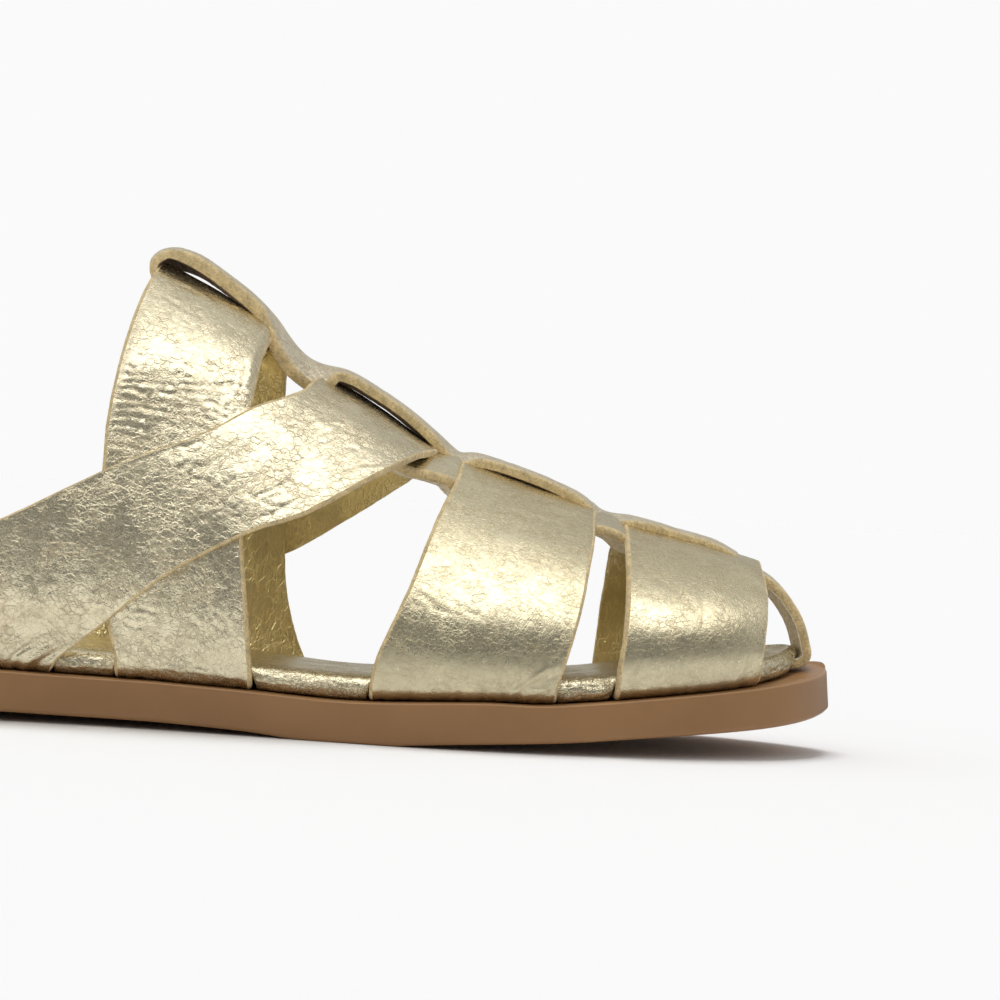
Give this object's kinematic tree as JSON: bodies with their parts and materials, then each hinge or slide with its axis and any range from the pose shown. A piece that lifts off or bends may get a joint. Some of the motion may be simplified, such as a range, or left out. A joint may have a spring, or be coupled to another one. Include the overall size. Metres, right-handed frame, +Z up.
{
  "type": "fisherman sandal",
  "caption": "Backless fisherman sandal with broad straps threaded through a centre strip, a wrapped padded insole and a thin rubber outsole.",
  "frame": {"origin": "centre of the bounding box in X and Y, on the floor plane the sandal stands on", "axes": "+X to the toe, +Y to the inner (medial) side, +Z up"},
  "size_m": [0.2573, 0.0879, 0.1039],
  "materials": {
    "foil_leather": "champagne gold metallic foil on tumbled leather, satin",
    "wrapped_insole": "smooth gold leather wrapped over a padded board",
    "tan_rubber": "matte tan brown",
    "raw_edge": "raw tan cut edge, matte",
    "lining": "olive brown flesh side, matte"
  },
  "bodies": {
    "root": {"upper": "foil_leather", "insole": "wrapped_insole", "outsole": "tan_rubber"}
  },
  "joints": []
}
